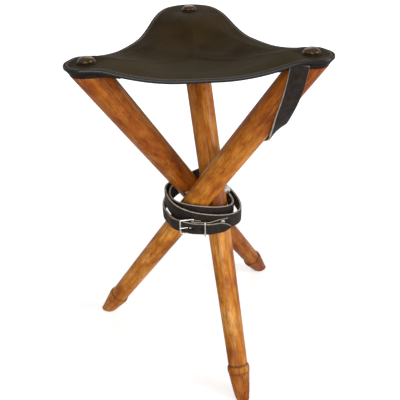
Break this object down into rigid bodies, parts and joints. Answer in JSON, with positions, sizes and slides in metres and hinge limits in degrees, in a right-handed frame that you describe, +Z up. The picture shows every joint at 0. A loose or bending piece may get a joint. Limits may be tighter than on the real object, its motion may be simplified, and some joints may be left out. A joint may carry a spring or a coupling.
{
  "type": "folding tripod stool",
  "caption": "Folding tripod stool with turned wooden legs bolted where they cross, a leather sling seat on domed studs, and a buckled carry strap wound round the crossing",
  "frame": {"origin": "on the floor at the centre of the stool's plan box, with the feet at z = 0", "axes": "+Z up, +X to the right and +Y to the back as seen in the picture, front foot towards -Y"},
  "size_m": [0.2966, 0.3485, 0.4571],
  "materials": {
    "leg_wood": "oiled honey-brown hardwood with dark grain streaks",
    "seat_leather": "dark olive-brown saddle leather with a soft sheen",
    "strap_leather": "near-black strap leather with pale raw edges",
    "stud_bronze": "aged bronze",
    "buckle_nickel": "bright nickel plate",
    "hub_steel": "bright zinc steel"
  },
  "bodies": {
    "hub": {"hub_bolt": "hub_steel", "hub_nut": "hub_steel", "hub_washer_front": "hub_steel", "hub_washer_back": "hub_steel", "eye_bolt": "hub_steel", "eye_nut": "hub_steel", "eye_washer": "hub_steel", "seat_leather": "seat_leather", "carry_strap": "strap_leather", "buckle_strap": "strap_leather", "buckle_frame": "buckle_nickel", "strap_keeper": "buckle_nickel", "end_rivet": "buckle_nickel"},
    "right_leg": {"leg_right": "leg_wood", "corner_pocket_right": "seat_leather", "stud_right": "stud_bronze", "stud_rosette_right": "stud_bronze", "strap_rivet": "buckle_nickel"},
    "left_leg": {"leg_left": "leg_wood", "corner_pocket_left": "seat_leather", "stud_left": "stud_bronze", "stud_rosette_left": "stud_bronze"},
    "back_leg": {"leg_back": "leg_wood", "corner_pocket_back": "seat_leather", "stud_back": "stud_bronze", "stud_rosette_back": "stud_bronze"},
    "prong": {"buckle_prong": "buckle_nickel"}
  },
  "joints": [
    {"name": "right_leg_fold", "type": "hinge", "parent": "hub", "child": "right_leg", "pos_m": [-0.00329, -0.02246, 0.23211], "axis": [0, -0.9487, -0.3162], "range_deg": [0, 26], "deforming": ["seat_leather", "carry_strap", "corner_pocket_right"]},
    {"name": "left_leg_fold", "type": "hinge", "parent": "hub", "child": "left_leg", "pos_m": [-0.00329, 0.01169, 0.24349], "axis": [0, 0.9487, 0.3162], "range_deg": [0, 26], "deforming": ["seat_leather", "carry_strap", "corner_pocket_left"]},
    {"name": "back_leg_fold", "type": "hinge", "parent": "hub", "child": "back_leg", "pos_m": [0.02994, -0.00538, 0.2378], "axis": [1, 0, 0], "range_deg": [0, 47.3], "deforming": ["seat_leather", "carry_strap", "corner_pocket_back"]},
    {"name": "buckle_prong_swing", "type": "hinge", "parent": "hub", "child": "prong", "pos_m": [-0.00998, -0.05585, 0.22114], "axis": [0, 0, 1], "range_deg": [0, 50], "deforming": ["carry_strap"]}
  ],
  "couplings": [
    {"joint": "left_leg_fold", "follows": "right_leg_fold", "ratio": 1},
    {"joint": "back_leg_fold", "follows": "right_leg_fold", "ratio": 1.816}
  ]
}
